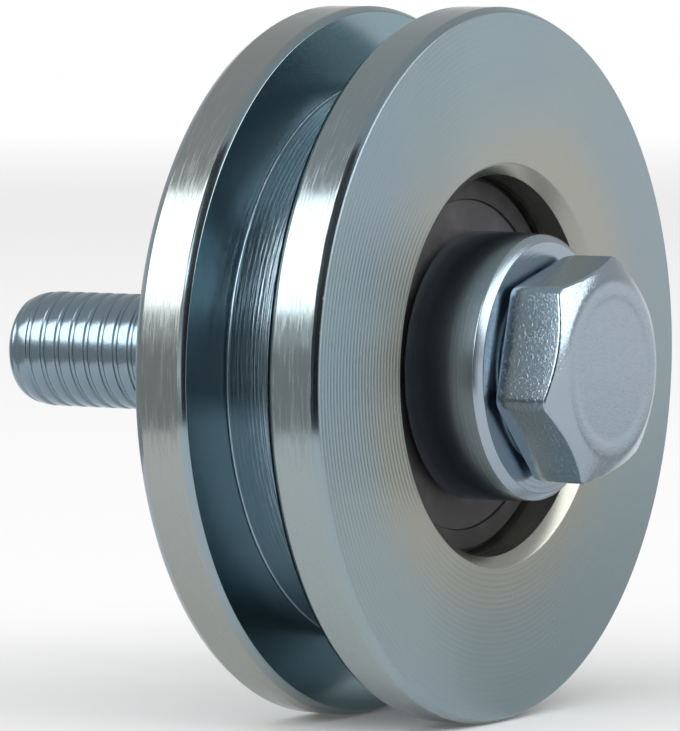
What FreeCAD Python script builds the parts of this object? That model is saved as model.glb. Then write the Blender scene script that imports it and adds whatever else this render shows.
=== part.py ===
import FreeCAD
import Part
import Sketcher
import os

# Square-groove wheel: a turned steel wheel on a sealed ball bearing, clamped
# between two spacer bushes by a hexagon bolt whose free thread fixes it to a frame.
# Frame: millimetres, Y along the axle with the free thread towards +Y, Z up.
# The origin is on the axle at the rear bush's end face, where the wheel seats.

# Driving dimensions: name, value, meaning
DIMENSIONS = (
    ("wheel_diameter", 60.0, "over the flanges"),
    ("flange_width", 4.9, "each flange, along the axle"),
    ("groove_width", 7.7, "between the flanges"),
    ("groove_depth", 6.5, "from the rim to the groove's floor"),
    ("groove_corner", 0.3, "tool radius in the groove's floor corners"),
    ("rim_chamfer_depth", 0.42, "rim edge breaks, radially"),
    ("rim_chamfer_width", 0.72, "rim edge breaks, along the axle"),
    ("mouth_chamfer", 1.0, "lead-in of the bearing seat"),
    ("shoulder_height", 2.2, "lip behind the bearing, radially"),
    ("shoulder_chamfer", 0.6, "edge break at the lip's rear mouth"),
    ("bearing_bore", 12.0, "inner ring bore"),
    ("bearing_diameter", 32.0, "outer ring outside"),
    ("bearing_width", 10.0, "both rings"),
    ("ring_chamfer", 0.5, "corner breaks of both rings"),
    ("ball_diameter", 5.953, "bearing balls"),
    ("ball_count", 7, "bearing balls, and rivets between them"),
    ("race_clearance", 0.07, "raceway radius over the ball's"),
    ("shoulder_gap", 3.7, "radial room between the rings' shoulders"),
    ("seal_step", 1.05, "seal seat over the outer ring's shoulder, radially"),
    ("seal_seat_depth", 1.1, "seal seat below the ring's face"),
    ("seal_thickness", 0.85, "seal at its inner zone"),
    ("seal_rim_thickness", 0.6, "seal at its seated rim"),
    ("seal_rim_width", 1.3, "seated rim, radially"),
    ("seal_lip_gap", 0.12, "seal lip to inner ring"),
    ("cage_thickness", 0.5, "pressed ribbon sheet"),
    ("cage_width", 2.4, "ribbon, radially"),
    ("pocket_clearance", 0.12, "cage pocket round each ball"),
    ("rivet_diameter", 1.0, "cage rivet shank"),
    ("rivet_head_diameter", 1.7, "cage rivet head"),
    ("rivet_head_height", 0.35, "cage rivet head"),
    ("rivet_clearance", 0.02, "rivet in its hole, radially"),
    ("bush_diameter", 22.5, "spacer bush outside"),
    ("bush_proud", 4.0, "bush beyond the wheel's side face"),
    ("bush_chamfer", 0.75, "outer end edge of the bush"),
    ("bush_edge_break", 0.3, "inner end edge of the bush"),
    ("bush_gap", 0.5, "bush body clear of the seal"),
    ("collar_diameter", 17.0, "bush face on the inner ring"),
    ("spigot_length", 4.6, "bush in the inner ring"),
    ("spigot_clearance", 0.01, "spigot in the inner ring, radially"),
    ("bolt_clearance", 0.1, "bolt in the bush, radially"),
    ("bolt_mouth", 0.5, "chamfer at the bush bore's ends"),
    ("bolt_diameter", 10.0, "thread outside"),
    ("bolt_length", 51.2, "under the head"),
    ("shank_relief", 0.5, "plain shank under the thread, radially"),
    ("head_across_flats", 17.0, "hexagon head"),
    ("head_height", 6.4, "hexagon head with its bearing face"),
    ("head_crown_diameter", 15.0, "flat top inside the crown chamfer"),
    ("head_crown_angle", 30.0, "crown chamfer, degrees"),
    ("head_face_diameter", 15.6, "bearing face under the head"),
    ("head_face_height", 0.4, "bearing face under the head"),
    ("head_fillet", 0.3, "under the head, round the shank"),
    ("head_turn", 14.5, "hexagon's turn on the axle, degrees"),
    ("thread_end_depth", 0.6, "end chamfer, radially"),
    ("thread_end_length", 1.2, "end chamfer, along the axle"),
)

# Places and sizes that several pieces share, worked out from the dimensions
HALF_WHEEL = "(dim.flange_width + dim.groove_width / 2)"
MID_PLANE = f"-(dim.bush_proud + {HALF_WHEEL})"
HEAD_PLANE = f"(2 * {MID_PLANE})"
RIM_RADIUS = "dim.wheel_diameter / 2"
FLOOR_RADIUS = f"({RIM_RADIUS} - dim.groove_depth)"
SEAT_RADIUS = "(dim.bearing_diameter / 2)"
HALF_BEARING = "(dim.bearing_width / 2)"
PITCH_RADIUS = "((dim.bearing_bore + dim.bearing_diameter) / 4)"
BALL_RADIUS = "(dim.ball_diameter / 2)"
INNER_SHOULDER = f"({PITCH_RADIUS} - dim.shoulder_gap / 2)"
OUTER_SHOULDER = f"({PITCH_RADIUS} + dim.shoulder_gap / 2)"
SEAL_SEAT = f"({OUTER_SHOULDER} + dim.seal_step)"
SEAL_FACE = f"({HALF_BEARING} - dim.seal_seat_depth)"
POCKET_RADIUS = f"({BALL_RADIUS} + dim.pocket_clearance)"
CUP_RADIUS = f"({POCKET_RADIUS} + dim.cage_thickness)"
RIVET_RADIUS = "(dim.rivet_diameter / 2)"
BUSH_RADIUS = "(dim.bush_diameter / 2)"
BUSH_LENGTH = f"(dim.bush_proud + {HALF_WHEEL} - {HALF_BEARING})"
BORE_RADIUS = "(dim.bolt_diameter / 2 + dim.bolt_clearance)"
SPIGOT_RADIUS = "(dim.bearing_bore / 2 - dim.spigot_clearance)"
SPIGOT_END = f"({BUSH_LENGTH} + dim.spigot_length)"
CORNER_RADIUS = "(dim.head_across_flats / sqrt(3))"
HEXAGON_SIDES = 6
TOOL_MARGIN = "1"

doc = FreeCAD.newDocument("square_groove_wheel")


def make_sheet():
    """Spreadsheet that holds the driving dimensions."""
    sheet = doc.addObject("Spreadsheet::Sheet", "dim")
    for row, (alias, value, meaning) in enumerate(DIMENSIONS, start=1):
        sheet.set(f"A{row}", meaning)
        sheet.set(f"B{row}", str(value))
        sheet.setAlias(f"B{row}", alias)
    doc.recompute()
    return sheet


sheet = make_sheet()


def value(expression):
    """Number that an expression on the sheet gives now."""
    result = sheet.evalExpression(expression)
    return float(getattr(result, "Value", result))


def make_body(label, place="0", turned_over=False):
    """Body on the axle at a place along Y; a turned-over one faces the other way."""
    body = doc.addObject("PartDesign::Body", label)
    body.Label = label
    half_turn = FreeCAD.Rotation(FreeCAD.Vector(1, 0, 0), 180 if turned_over else 0)
    body.Placement = FreeCAD.Placement(FreeCAD.Vector(0, value(place), 0), half_turn)
    body.setExpression("Placement.Base.y", place)
    return body


def origin_feature(body, role):
    """Origin plane or axis of a body."""
    return next(item for item in body.Origin.OriginFeatures if item.Role == role)


def new_sketch(body, name, plane):
    """Empty sketch on one of its body's origin planes."""
    sketch = body.newObject("Sketcher::SketchObject", name)
    sketch.AttachmentSupport = [(origin_feature(body, plane), "")]
    sketch.MapMode = "FlatFace"
    return sketch


def bind_point(sketch, geometry, position, across, along):
    """Dimension a point from the sketch's origin, by two expressions."""
    for kind, expression in (("DistanceX", across), ("DistanceY", along)):
        constraint = Sketcher.Constraint(kind, -1, 1, geometry, position, value(expression))
        index = sketch.addConstraint(constraint)
        sketch.setExpression(f"Constraints[{index}]", expression)


def outline_sketch(body, name, corners, plane="XY_Plane"):
    """Closed outline of straight lines through corners given as expressions."""
    sketch = new_sketch(body, name, plane)
    points = [FreeCAD.Vector(value(across), value(along), 0) for across, along in corners]
    for start, end in zip(points, points[1:] + points[:1]):
        sketch.addGeometry(Part.LineSegment(start, end), False)
    for line in range(len(corners)):
        following = (line + 1) % len(corners)
        sketch.addConstraint(Sketcher.Constraint("Coincident", line, 2, following, 1))
    for line, (across, along) in enumerate(corners):
        bind_point(sketch, line, 1, across, along)
    return sketch


def circle_sketch(body, name, across, along, radius, plane="XY_Plane"):
    """Circle whose centre and radius are given as expressions."""
    sketch = new_sketch(body, name, plane)
    centre = FreeCAD.Vector(value(across), value(along), 0)
    normal = FreeCAD.Vector(0, 0, 1)
    sketch.addGeometry(Part.Circle(centre, normal, value(radius)), False)
    bind_point(sketch, 0, 3, across, along)
    index = sketch.addConstraint(Sketcher.Constraint("Radius", 0, value(radius)))
    sketch.setExpression(f"Constraints[{index}]", radius)
    return sketch


def turn(body, name, sketch, kind="PartDesign::Revolution", axis="V_Axis"):
    """Full turn of a sketch about the axle, adding or cutting."""
    feature = body.newObject(kind, name)
    feature.Profile = sketch
    feature.ReferenceAxis = (sketch, [axis])
    feature.Angle = 360
    doc.recompute()
    return feature


def groove(body, name, sketch):
    """Turned cut."""
    return turn(body, name, sketch, kind="PartDesign::Groove")


def repeat_round_axle(body, name, feature):
    """Copies of a feature spaced round the axle, one for each ball."""
    pattern = body.newObject("PartDesign::PolarPattern", name)
    pattern.Originals = [feature]
    pattern.Axis = (origin_feature(body, "Y_Axis"), [""])
    pattern.Angle = 360
    pattern.setExpression("Occurrences", "dim.ball_count")
    body.Tip = pattern
    doc.recompute()
    return pattern


def round_edges(body, name, radius, place):
    """Edges that lie at a radius and at a distance along the axle from the body's origin."""
    found = []
    for number, edge in enumerate(body.Tip.Shape.Edges, start=1):
        on_radius = hasattr(edge.Curve, "Radius") and abs(edge.Curve.Radius - radius) < 1e-4
        at_place = abs(abs(edge.BoundBox.Center.y) - abs(place)) < 1e-4
        if on_radius and at_place:
            found.append(f"Edge{number}")
    if not found:
        raise RuntimeError(f"{name}: no edge found")
    return found


def fillet(body, name, radius_alias, edge_radius, edge_place):
    """Fillet of the round edges at a radius and place."""
    base = body.Tip
    edges = round_edges(body, name, value(edge_radius), value(edge_place))
    feature = body.newObject("PartDesign::Fillet", name)
    feature.Base = (base, edges)
    feature.setExpression("Radius", f"dim.{radius_alias}")
    doc.recompute()
    return feature


def make_wheel():
    """Turned wheel: two flanges, a square groove, and a bearing seat with a rear lip."""
    body = make_body("grooved_wheel", MID_PLANE)
    half_groove = "dim.groove_width / 2"
    lip_radius = f"({SEAT_RADIUS} - dim.shoulder_height)"
    edge_radius = f"{RIM_RADIUS} - dim.rim_chamfer_depth"
    outer_edge = f"({HALF_WHEEL} - dim.rim_chamfer_width)"
    inner_edge = f"({half_groove} + dim.rim_chamfer_width)"
    front_side = (
        (f"{SEAT_RADIUS} + dim.mouth_chamfer", f"-{HALF_WHEEL}"),
        (edge_radius, f"-{HALF_WHEEL}"),
        (RIM_RADIUS, f"-{outer_edge}"),
        (RIM_RADIUS, f"-{inner_edge}"),
        (edge_radius, f"-({half_groove})"),
        (FLOOR_RADIUS, f"-({half_groove})"),
    )
    rear_side = (
        (FLOOR_RADIUS, half_groove),
        (edge_radius, half_groove),
        (RIM_RADIUS, inner_edge),
        (RIM_RADIUS, outer_edge),
        (edge_radius, HALF_WHEEL),
        (f"{lip_radius} + dim.shoulder_chamfer", HALF_WHEEL),
    )
    bore = (
        (lip_radius, f"{HALF_WHEEL} - dim.shoulder_chamfer"),
        (lip_radius, HALF_BEARING),
        (SEAT_RADIUS, HALF_BEARING),
        (SEAT_RADIUS, f"dim.mouth_chamfer - {HALF_WHEEL}"),
    )
    turn(body, "wheel_turning", outline_sketch(body, "wheel_outline", front_side + rear_side + bore))
    fillet(body, "groove_corners", "groove_corner", FLOOR_RADIUS, half_groove)
    return body


def make_outer_ring():
    """Outer ring: raceway inside, and a seal seat at each face."""
    body = make_body("bearing_outer_ring", MID_PLANE)
    corners = []
    for side in ("-", ""):
        face = [
            (OUTER_SHOULDER, f"{side}{SEAL_FACE}"),
            (SEAL_SEAT, f"{side}{SEAL_FACE}"),
            (SEAL_SEAT, f"{side}{HALF_BEARING}"),
            (f"{SEAT_RADIUS} - dim.ring_chamfer", f"{side}{HALF_BEARING}"),
            (SEAT_RADIUS, f"{side}({HALF_BEARING} - dim.ring_chamfer)"),
        ]
        corners += face if side else face[::-1]
    turn(body, "outer_ring_turning", outline_sketch(body, "outer_ring_outline", corners))
    cut_raceway(body, "outer_raceway")
    return body


def make_inner_ring():
    """Inner ring: raceway outside."""
    body = make_body("bearing_inner_ring", MID_PLANE)
    bore = "dim.bearing_bore / 2"
    corners = []
    for side in ("-", ""):
        face = [
            (bore, f"{side}({HALF_BEARING} - dim.ring_chamfer)"),
            (f"{bore} + dim.ring_chamfer", f"{side}{HALF_BEARING}"),
            (INNER_SHOULDER, f"{side}{HALF_BEARING}"),
        ]
        corners += face if side else face[::-1]
    turn(body, "inner_ring_turning", outline_sketch(body, "inner_ring_outline", corners))
    cut_raceway(body, "inner_raceway")
    return body


def cut_raceway(body, name):
    """Ball track: a round groove on the pitch circle, a little wider than the ball."""
    radius = f"{BALL_RADIUS} + dim.race_clearance"
    groove(body, name, circle_sketch(body, f"{name}_section", PITCH_RADIUS, "0", radius))


def ball_place(number):
    """Angle round the axle, from X towards Z, of a ball; rivets lie half way between."""
    return f"(360deg / dim.ball_count * ({number} + 0.5))"


def make_ball(number):
    """One bearing ball on the pitch circle."""
    ball = doc.addObject("Part::Sphere", f"bearing_ball_{number + 1}")
    ball.Label = f"bearing_ball_{number + 1}"
    ball.setExpression("Radius", BALL_RADIUS)
    ball.setExpression("Placement.Base.x", f"{PITCH_RADIUS} * cos({ball_place(number)})")
    ball.setExpression("Placement.Base.y", MID_PLANE)
    ball.setExpression("Placement.Base.z", f"{PITCH_RADIUS} * sin({ball_place(number)})")
    return ball


def pocket_sphere(body, name, kind, radius):
    """Sphere round every ball's place, adding the cups or hollowing them."""
    sphere = body.newObject(kind, name)
    sphere.AttachmentSupport = [(origin_feature(body, "XY_Plane"), "")]
    sphere.MapMode = "FlatFace"
    sphere.setExpression("Radius", radius)
    sphere.setExpression("AttachmentOffset.Base.x", f"{PITCH_RADIUS} * cos({ball_place(0)})")
    sphere.setExpression("AttachmentOffset.Base.z", f"{PITCH_RADIUS} * sin({ball_place(0)})")
    doc.recompute()
    return repeat_round_axle(body, f"{name}_round", sphere)


def make_cage_half(label, turned_over):
    """Pressed ribbon half of the cage: flat webs, a cup for each ball, rivet holes."""
    body = make_body(label, MID_PLANE, turned_over)
    inside = f"({PITCH_RADIUS} - dim.cage_width / 2)"
    outside = f"({PITCH_RADIUS} + dim.cage_width / 2)"
    far = f"({CUP_RADIUS} + {TOOL_MARGIN})"
    beyond = f"({PITCH_RADIUS} + {far})"
    web = (
        (inside, "0"),
        (outside, "0"),
        (outside, "dim.cage_thickness"),
        (inside, "dim.cage_thickness"),
    )
    trim = (
        ("0", f"-{far}"),
        (beyond, f"-{far}"),
        (beyond, far),
        (outside, far),
        (outside, "0"),
        (inside, "0"),
        (inside, far),
        ("0", far),
    )
    turn(body, "web", outline_sketch(body, "web_outline", web))
    pocket_sphere(body, "cups", "PartDesign::AdditiveSphere", CUP_RADIUS)
    groove(body, "ribbon_edges", outline_sketch(body, "ribbon_edge_outline", trim))
    pocket_sphere(body, "pockets", "PartDesign::SubtractiveSphere", POCKET_RADIUS)
    hole = body.newObject("PartDesign::Pocket", "rivet_hole")
    hole_radius = f"{RIVET_RADIUS} + dim.rivet_clearance"
    hole.Profile = circle_sketch(body, "rivet_hole_outline", PITCH_RADIUS, "0", hole_radius, "XZ_Plane")
    hole.Type = "ThroughAll"
    hole.Midplane = True
    doc.recompute()
    repeat_round_axle(body, "rivet_holes", hole)
    return body


def make_rivets():
    """Rivets that close the two cage halves, one between each two balls."""
    body = make_body("cage_rivets", MID_PLANE)
    body.AllowCompound = True
    head_edge = f"({PITCH_RADIUS} + dim.rivet_head_diameter / 2)"
    head_crown = f"({PITCH_RADIUS} + {RIVET_RADIUS})"
    shank = f"({PITCH_RADIUS} + {RIVET_RADIUS})"
    sheet_face = "dim.cage_thickness"
    crown_face = "(dim.cage_thickness + dim.rivet_head_height)"
    upper = [
        (shank, sheet_face),
        (head_edge, sheet_face),
        (head_crown, crown_face),
        (PITCH_RADIUS, crown_face),
    ]
    lower = [(across, f"-{along}") for across, along in reversed(upper)]
    sketch = outline_sketch(body, "rivet_outline", upper + lower)
    centre_line = len(upper + lower)
    reach = FreeCAD.Vector(0, value(crown_face), 0)
    middle = FreeCAD.Vector(value(PITCH_RADIUS), 0, 0)
    sketch.addGeometry(Part.LineSegment(middle - reach, middle + reach), True)
    bind_point(sketch, centre_line, 1, PITCH_RADIUS, f"-{crown_face}")
    bind_point(sketch, centre_line, 2, PITCH_RADIUS, crown_face)
    rivet = turn(body, "rivet", sketch, axis="Axis0")
    repeat_round_axle(body, "rivets_round", rivet)
    return body


def make_seal(label, turned_over):
    """Rubber seal: a thin rim in the outer ring's seat, a thicker web and a lip gap."""
    body = make_body(label, MID_PLANE, turned_over)
    lip = f"({INNER_SHOULDER} + dim.seal_lip_gap)"
    rim = f"({SEAL_SEAT} - dim.seal_rim_width)"
    rim_face = f"({SEAL_FACE} + dim.seal_rim_thickness)"
    web_face = f"({SEAL_FACE} + dim.seal_thickness)"
    corners = (
        (lip, SEAL_FACE),
        (SEAL_SEAT, SEAL_FACE),
        (SEAL_SEAT, rim_face),
        (rim, rim_face),
        (f"{rim} - (dim.seal_thickness - dim.seal_rim_thickness)", web_face),
        (lip, web_face),
    )
    turn(body, "seal_moulding", outline_sketch(body, "seal_outline", corners))
    return body


def make_bush(label, place, turned_over):
    """Turned spacer bush: body, collar on the inner ring, spigot in it, bolt bore."""
    body = make_body(label, place, turned_over)
    body_end = f"({BUSH_LENGTH} - dim.bush_gap)"
    corners = (
        (f"{BORE_RADIUS} + dim.bolt_mouth", "0"),
        (f"{BUSH_RADIUS} - dim.bush_chamfer", "0"),
        (BUSH_RADIUS, "-dim.bush_chamfer"),
        (BUSH_RADIUS, f"-({body_end} - dim.bush_edge_break)"),
        (f"{BUSH_RADIUS} - dim.bush_edge_break", f"-{body_end}"),
        ("dim.collar_diameter / 2", f"-{body_end}"),
        ("dim.collar_diameter / 2", f"-{BUSH_LENGTH}"),
        (SPIGOT_RADIUS, f"-{BUSH_LENGTH}"),
        (SPIGOT_RADIUS, f"-{SPIGOT_END}"),
        (BORE_RADIUS, f"-{SPIGOT_END}"),
        (BORE_RADIUS, "-dim.bolt_mouth"),
    )
    turn(body, "bush_turning", outline_sketch(body, "bush_outline", corners))
    return body


def make_bolt():
    """Hexagon bolt: crowned head with a bearing face, plain shank, thread at full size."""
    body = make_body("hex_bolt", HEAD_PLANE)
    turned = FreeCAD.Rotation(FreeCAD.Vector(0, -1, 0), value("dim.head_turn"))
    body.Placement = FreeCAD.Placement(body.Placement.Base, turned)
    body.setExpression("Placement.Rotation.Angle", "dim.head_turn * 1deg")
    hexagon = []
    for corner in range(HEXAGON_SIDES):
        angle = f"(360deg * {corner} / {HEXAGON_SIDES})"
        hexagon.append((f"{CORNER_RADIUS} * cos({angle})", f"{CORNER_RADIUS} * sin({angle})"))
    head = body.newObject("PartDesign::Pad", "head")
    head.Profile = outline_sketch(body, "head_hexagon", hexagon, "XZ_Plane")
    head.setExpression("Length", "dim.head_height")
    doc.recompute()

    crown = "dim.head_crown_diameter / 2"
    beyond = f"({CORNER_RADIUS} + {TOOL_MARGIN})"
    crown_fall = f"({beyond} - {crown}) * tan(dim.head_crown_angle * 1deg)"
    crown_cut = (
        (crown, "-dim.head_height"),
        (beyond, f"{crown_fall} - dim.head_height"),
        (beyond, f"-(dim.head_height + {TOOL_MARGIN})"),
        (crown, f"-(dim.head_height + {TOOL_MARGIN})"),
    )
    groove(body, "crown_chamfer", outline_sketch(body, "crown_outline", crown_cut))
    face_cut = (
        ("dim.head_face_diameter / 2", "-dim.head_face_height"),
        (beyond, "-dim.head_face_height"),
        (beyond, TOOL_MARGIN),
        ("dim.head_face_diameter / 2", TOOL_MARGIN),
    )
    groove(body, "bearing_face", outline_sketch(body, "bearing_face_outline", face_cut))

    thread = "(dim.bolt_diameter / 2)"
    shank = f"({thread} - dim.shank_relief)"
    thread_start = f"(0 - {HEAD_PLANE})"
    stem = (
        ("0", f"-{TOOL_MARGIN}"),
        (shank, f"-{TOOL_MARGIN}"),
        (shank, thread_start),
        (thread, thread_start),
        (thread, "dim.bolt_length - dim.thread_end_length"),
        (f"{thread} - dim.thread_end_depth", "dim.bolt_length"),
        ("0", "dim.bolt_length"),
    )
    turn(body, "stem", outline_sketch(body, "stem_outline", stem))
    fillet(body, "head_fillet", "head_fillet", shank, "0")
    return body


def make_parts():
    """Every piece, from the wheel inwards."""
    pieces = [make_wheel(), make_outer_ring(), make_inner_ring()]
    pieces += [make_ball(number) for number in range(int(value("dim.ball_count")))]
    pieces += [make_cage_half("cage_front_half", True), make_cage_half("cage_rear_half", False)]
    pieces.append(make_rivets())
    pieces += [make_seal("front_seal", True), make_seal("rear_seal", False)]
    pieces += [make_bush("front_bush", HEAD_PLANE, True), make_bush("rear_bush", "0", False)]
    pieces.append(make_bolt())
    doc.recompute()
    return pieces


def check_document(pieces):
    """Stop before anything is written if a feature failed or a shape is unsound."""
    for item in doc.Objects:
        if "Invalid" in item.State or "Error" in item.State:
            raise RuntimeError(f"{item.Label}: {item.State}")
    for piece in pieces:
        if piece.Shape.isNull() or not piece.Shape.isValid():
            raise RuntimeError(f"{piece.Label}: unsound shape")


def write_parts(pieces):
    """One file for each piece."""
    os.makedirs("parts", exist_ok=True)
    for piece in pieces:
        piece.Shape.exportStep(f"parts/{piece.Label}.step")
        box = piece.Shape.BoundBox
        print(f"{piece.Label}: {len(piece.Shape.Solids)} solid, volume {piece.Shape.Volume:.2f},"
              f" Y {box.YMin:.2f} to {box.YMax:.2f}, Z {box.ZMin:.2f} to {box.ZMax:.2f}")


parts = make_parts()
check_document(parts)
write_parts(parts)
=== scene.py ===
"""Square groove wheel on its axle bolt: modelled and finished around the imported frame."""
import math

import bmesh
import bpy
from bpy.props import FloatProperty, FloatVectorProperty, IntProperty, PointerProperty
from mathutils import Matrix, Vector


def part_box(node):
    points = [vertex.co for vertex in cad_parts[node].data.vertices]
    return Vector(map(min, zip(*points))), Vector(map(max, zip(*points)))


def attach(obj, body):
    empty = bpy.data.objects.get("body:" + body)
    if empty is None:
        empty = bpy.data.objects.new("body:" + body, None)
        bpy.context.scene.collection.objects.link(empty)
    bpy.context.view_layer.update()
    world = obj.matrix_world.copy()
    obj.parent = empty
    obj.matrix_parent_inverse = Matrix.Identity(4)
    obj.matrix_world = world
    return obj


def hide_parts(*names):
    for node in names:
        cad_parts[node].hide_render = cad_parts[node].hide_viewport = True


bl_info = {
    "name": "Square Groove Wheel",
    "version": (1, 0, 0),
    "blender": (4, 5, 0),
    "location": "View3D > Sidebar > Groove Wheel",
    "description": "Models and finishes a square groove wheel with its bearing, bushes and bolt",
    "category": "Object",
}

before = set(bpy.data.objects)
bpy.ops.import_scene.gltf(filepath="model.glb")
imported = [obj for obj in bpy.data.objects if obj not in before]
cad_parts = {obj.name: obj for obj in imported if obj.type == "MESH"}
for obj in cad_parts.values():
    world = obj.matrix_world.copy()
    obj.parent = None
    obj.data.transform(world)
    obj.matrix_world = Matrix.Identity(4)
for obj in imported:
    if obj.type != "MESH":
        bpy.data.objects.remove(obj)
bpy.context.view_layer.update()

MM = 0.001
MICRON = 0.000001
FULL_TURN = 2 * math.pi
AXLE = (0, 1, 0)
CENTRE = (0, 0, 0)

WHEEL_LOW, WHEEL_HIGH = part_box("grooved_wheel")
RING_LOW, RING_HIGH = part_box("bearing_outer_ring")
BUSH_LOW, BUSH_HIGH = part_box("front_bush")
BOLT_LOW, BOLT_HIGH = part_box("hex_bolt")
MID_PLANE = (WHEEL_LOW.y + WHEEL_HIGH.y) / 2
HEAD_PLANE = BUSH_LOW.y
FLOOR_LEVEL = WHEEL_LOW.z


def length(name, millimetres, description):
    """Size property, given in millimetres and kept in metres."""
    return FloatProperty(name=name, description=description, default=millimetres * MM, unit="LENGTH",
                         precision=5)


def angle(name, degrees, description):
    """Angle property, given in degrees."""
    return FloatProperty(name=name, description=description, default=math.radians(degrees), unit="ROTATION")


def number(name, default, description):
    """Plain number property."""
    return FloatProperty(name=name, description=description, default=default, precision=4)


def colour(name, default, description):
    """Colour property, linear."""
    return FloatVectorProperty(name=name, description=description, default=default, subtype="COLOR",
                               min=0, max=1)


def count(name, default, least, description):
    """Whole number property."""
    return IntProperty(name=name, description=description, default=default, min=least)


class WheelSizes(bpy.types.PropertyGroup):
    """Turned wheel"""

    radius: length("Radius", WHEEL_HIGH.z / MM, "Axle to the rim")
    groove_width: length("Groove Width", 7.7, "Between the flanges")
    groove_depth: length("Groove Depth", 6.5, "Rim to the groove's floor")
    groove_corner: length("Groove Corner", 0.22, "Tool radius in the floor corners")
    chamfer_depth: length("Rim Chamfer Depth", 0.42, "Rim edge breaks, radially")
    chamfer_width: length("Rim Chamfer Width", 0.72, "Rim edge breaks, along the axle")
    mouth_chamfer: length("Mouth Chamfer", 1.0, "Lead-in of the bearing seat")
    lip_height: length("Lip Height", 2.2, "Rear lip over the bearing seat")
    lip_chamfer: length("Lip Chamfer", 0.6, "Rear mouth's edge break")
    edge: length("Edge Radius", 0.07, "Rounding that plating leaves on the edges")
    segments: count("Segments", 288, 32, "Facets round the wheel")


class BearingSizes(bpy.types.PropertyGroup):
    """Rings and seals"""

    outer_radius: length("Outer Radius", RING_HIGH.z / MM, "Outer ring outside")
    bore_radius: length("Bore Radius", 6.0, "Inner ring bore")
    width: length("Width", (RING_HIGH.y - RING_LOW.y) / MM, "Both rings")
    ring_chamfer: length("Ring Chamfer", 0.5, "Corner breaks of the rings")
    pitch_radius: length("Pitch Radius", 11.0, "Centres of the balls")
    track_radius: length("Track Radius", 3.0465, "Ball track's section")
    shoulder_gap: length("Shoulder Gap", 3.7, "Room between the rings' shoulders")
    seal_step: length("Seal Step", 1.05, "Seal seat over the outer shoulder")
    seal_depth: length("Seal Depth", 1.1, "Seal seat below the ring's face")
    seal_thickness: length("Seal Thickness", 0.85, "Flat seal, along the axle")
    lip_gap: length("Lip Gap", 0.12, "Seal lip to inner ring")
    edge: length("Edge Radius", 0.06, "Rounding of the rings' edges")
    seal_edge: length("Seal Edge Radius", 0.09, "Rounding of the seals' edges")
    segments: count("Segments", 192, 32, "Facets round a ring")
    track_segments: count("Track Segments", 16, 4, "Facets across a ball track")


class BushSizes(bpy.types.PropertyGroup):
    """Spacer bushes"""

    radius: length("Radius", BUSH_HIGH.z / MM, "Outside")
    chamfer: length("Chamfer", 0.75, "Outer end's edge")
    taper_length: length("Taper Length", 2.9, "Outer end's part that draws in, with the chamfer")
    taper_depth: length("Taper Depth", 0.15, "Drawing-in at the chamfer, radially")
    edge_break: length("Edge Break", 0.3, "Inner end's edge")
    seal_gap: length("Seal Gap", 0.5, "Bush body clear of the seal")
    collar_radius: length("Collar Radius", 8.5, "Face on the inner ring")
    spigot_radius: length("Spigot Radius", 5.99, "Part in the inner ring")
    bore_radius: length("Bore Radius", 5.1, "Bolt hole")
    mouth: length("Mouth Chamfer", 0.5, "Ends of the bolt hole")
    edge: length("Edge Radius", 0.06, "Rounding that plating leaves on the edges")
    segments: count("Segments", 160, 32, "Facets round a bush")


class BoltSizes(bpy.types.PropertyGroup):
    """Hexagon bolt"""

    across_flats: length("Across Flats", 17.0, "Hexagon head")
    corner_radius: length("Corner Radius", 0.6, "Rounding of the hexagon's corners")
    turned_in: length("Turned-in Depth", 0.2, "Flats' draw towards the underside")
    turned_height: length("Turned-in Height", 1.5, "Part of the flats that draws in")
    crown_radius: length("Crown Radius", 7.5, "Flat top inside the crown chamfer")
    crown_angle: angle("Crown Angle", 30.0, "Crown chamfer")
    crown_blend: length("Crown Blend", 0.45, "Rounding between the crown and the top, to each side")
    turn: angle("Head Turn", 14.5, "A corner's direction from X towards Z")
    dish_radius: length("Dish Radius", 6.5, "Shallow dish in the head's top")
    dish_slope: length("Dish Slope", 0.8, "Width of the dish's sloping edge")
    dish_depth: length("Dish Depth", 0.045, "Dish below the top's rim")
    face_radius: length("Bearing Face Radius", 7.8, "Washer face under the head")
    face_height: length("Bearing Face Height", 0.4, "Washer face under the head")
    shank_radius: length("Shank Radius", 4.5, "Plain part under the head")
    shank_fillet: length("Shank Fillet", 0.3, "Under the head")
    thread_radius: length("Thread Radius", 5.0, "Over the crests")
    root_radius: length("Root Radius", 4.80, "Bottom of the rolled thread")
    crest_width: length("Crest Width", 0.95, "Broad crest of the rolled thread")
    thread_blend: length("Thread Blend", 0.08, "Soft edges of the crest and the root")
    pitch: length("Pitch", 1.5, "Thread pitch")
    run_out: length("Run-out", 1.2, "Thread's end towards the shank")
    tip_length: length("Tip Length", 2.8, "Rounded end along the axle")
    tip_depth: length("Tip Depth", 0.95, "Rounded end, radially")
    plain_tip: number("Plain Tip", 0.2, "Share of the rounded end that has no thread")
    edge: length("Edge Radius", 0.22, "Forged rounding of the head's edges")
    steps: count("Thread Steps", 96, 24, "Facets in one turn of the thread")


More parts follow.
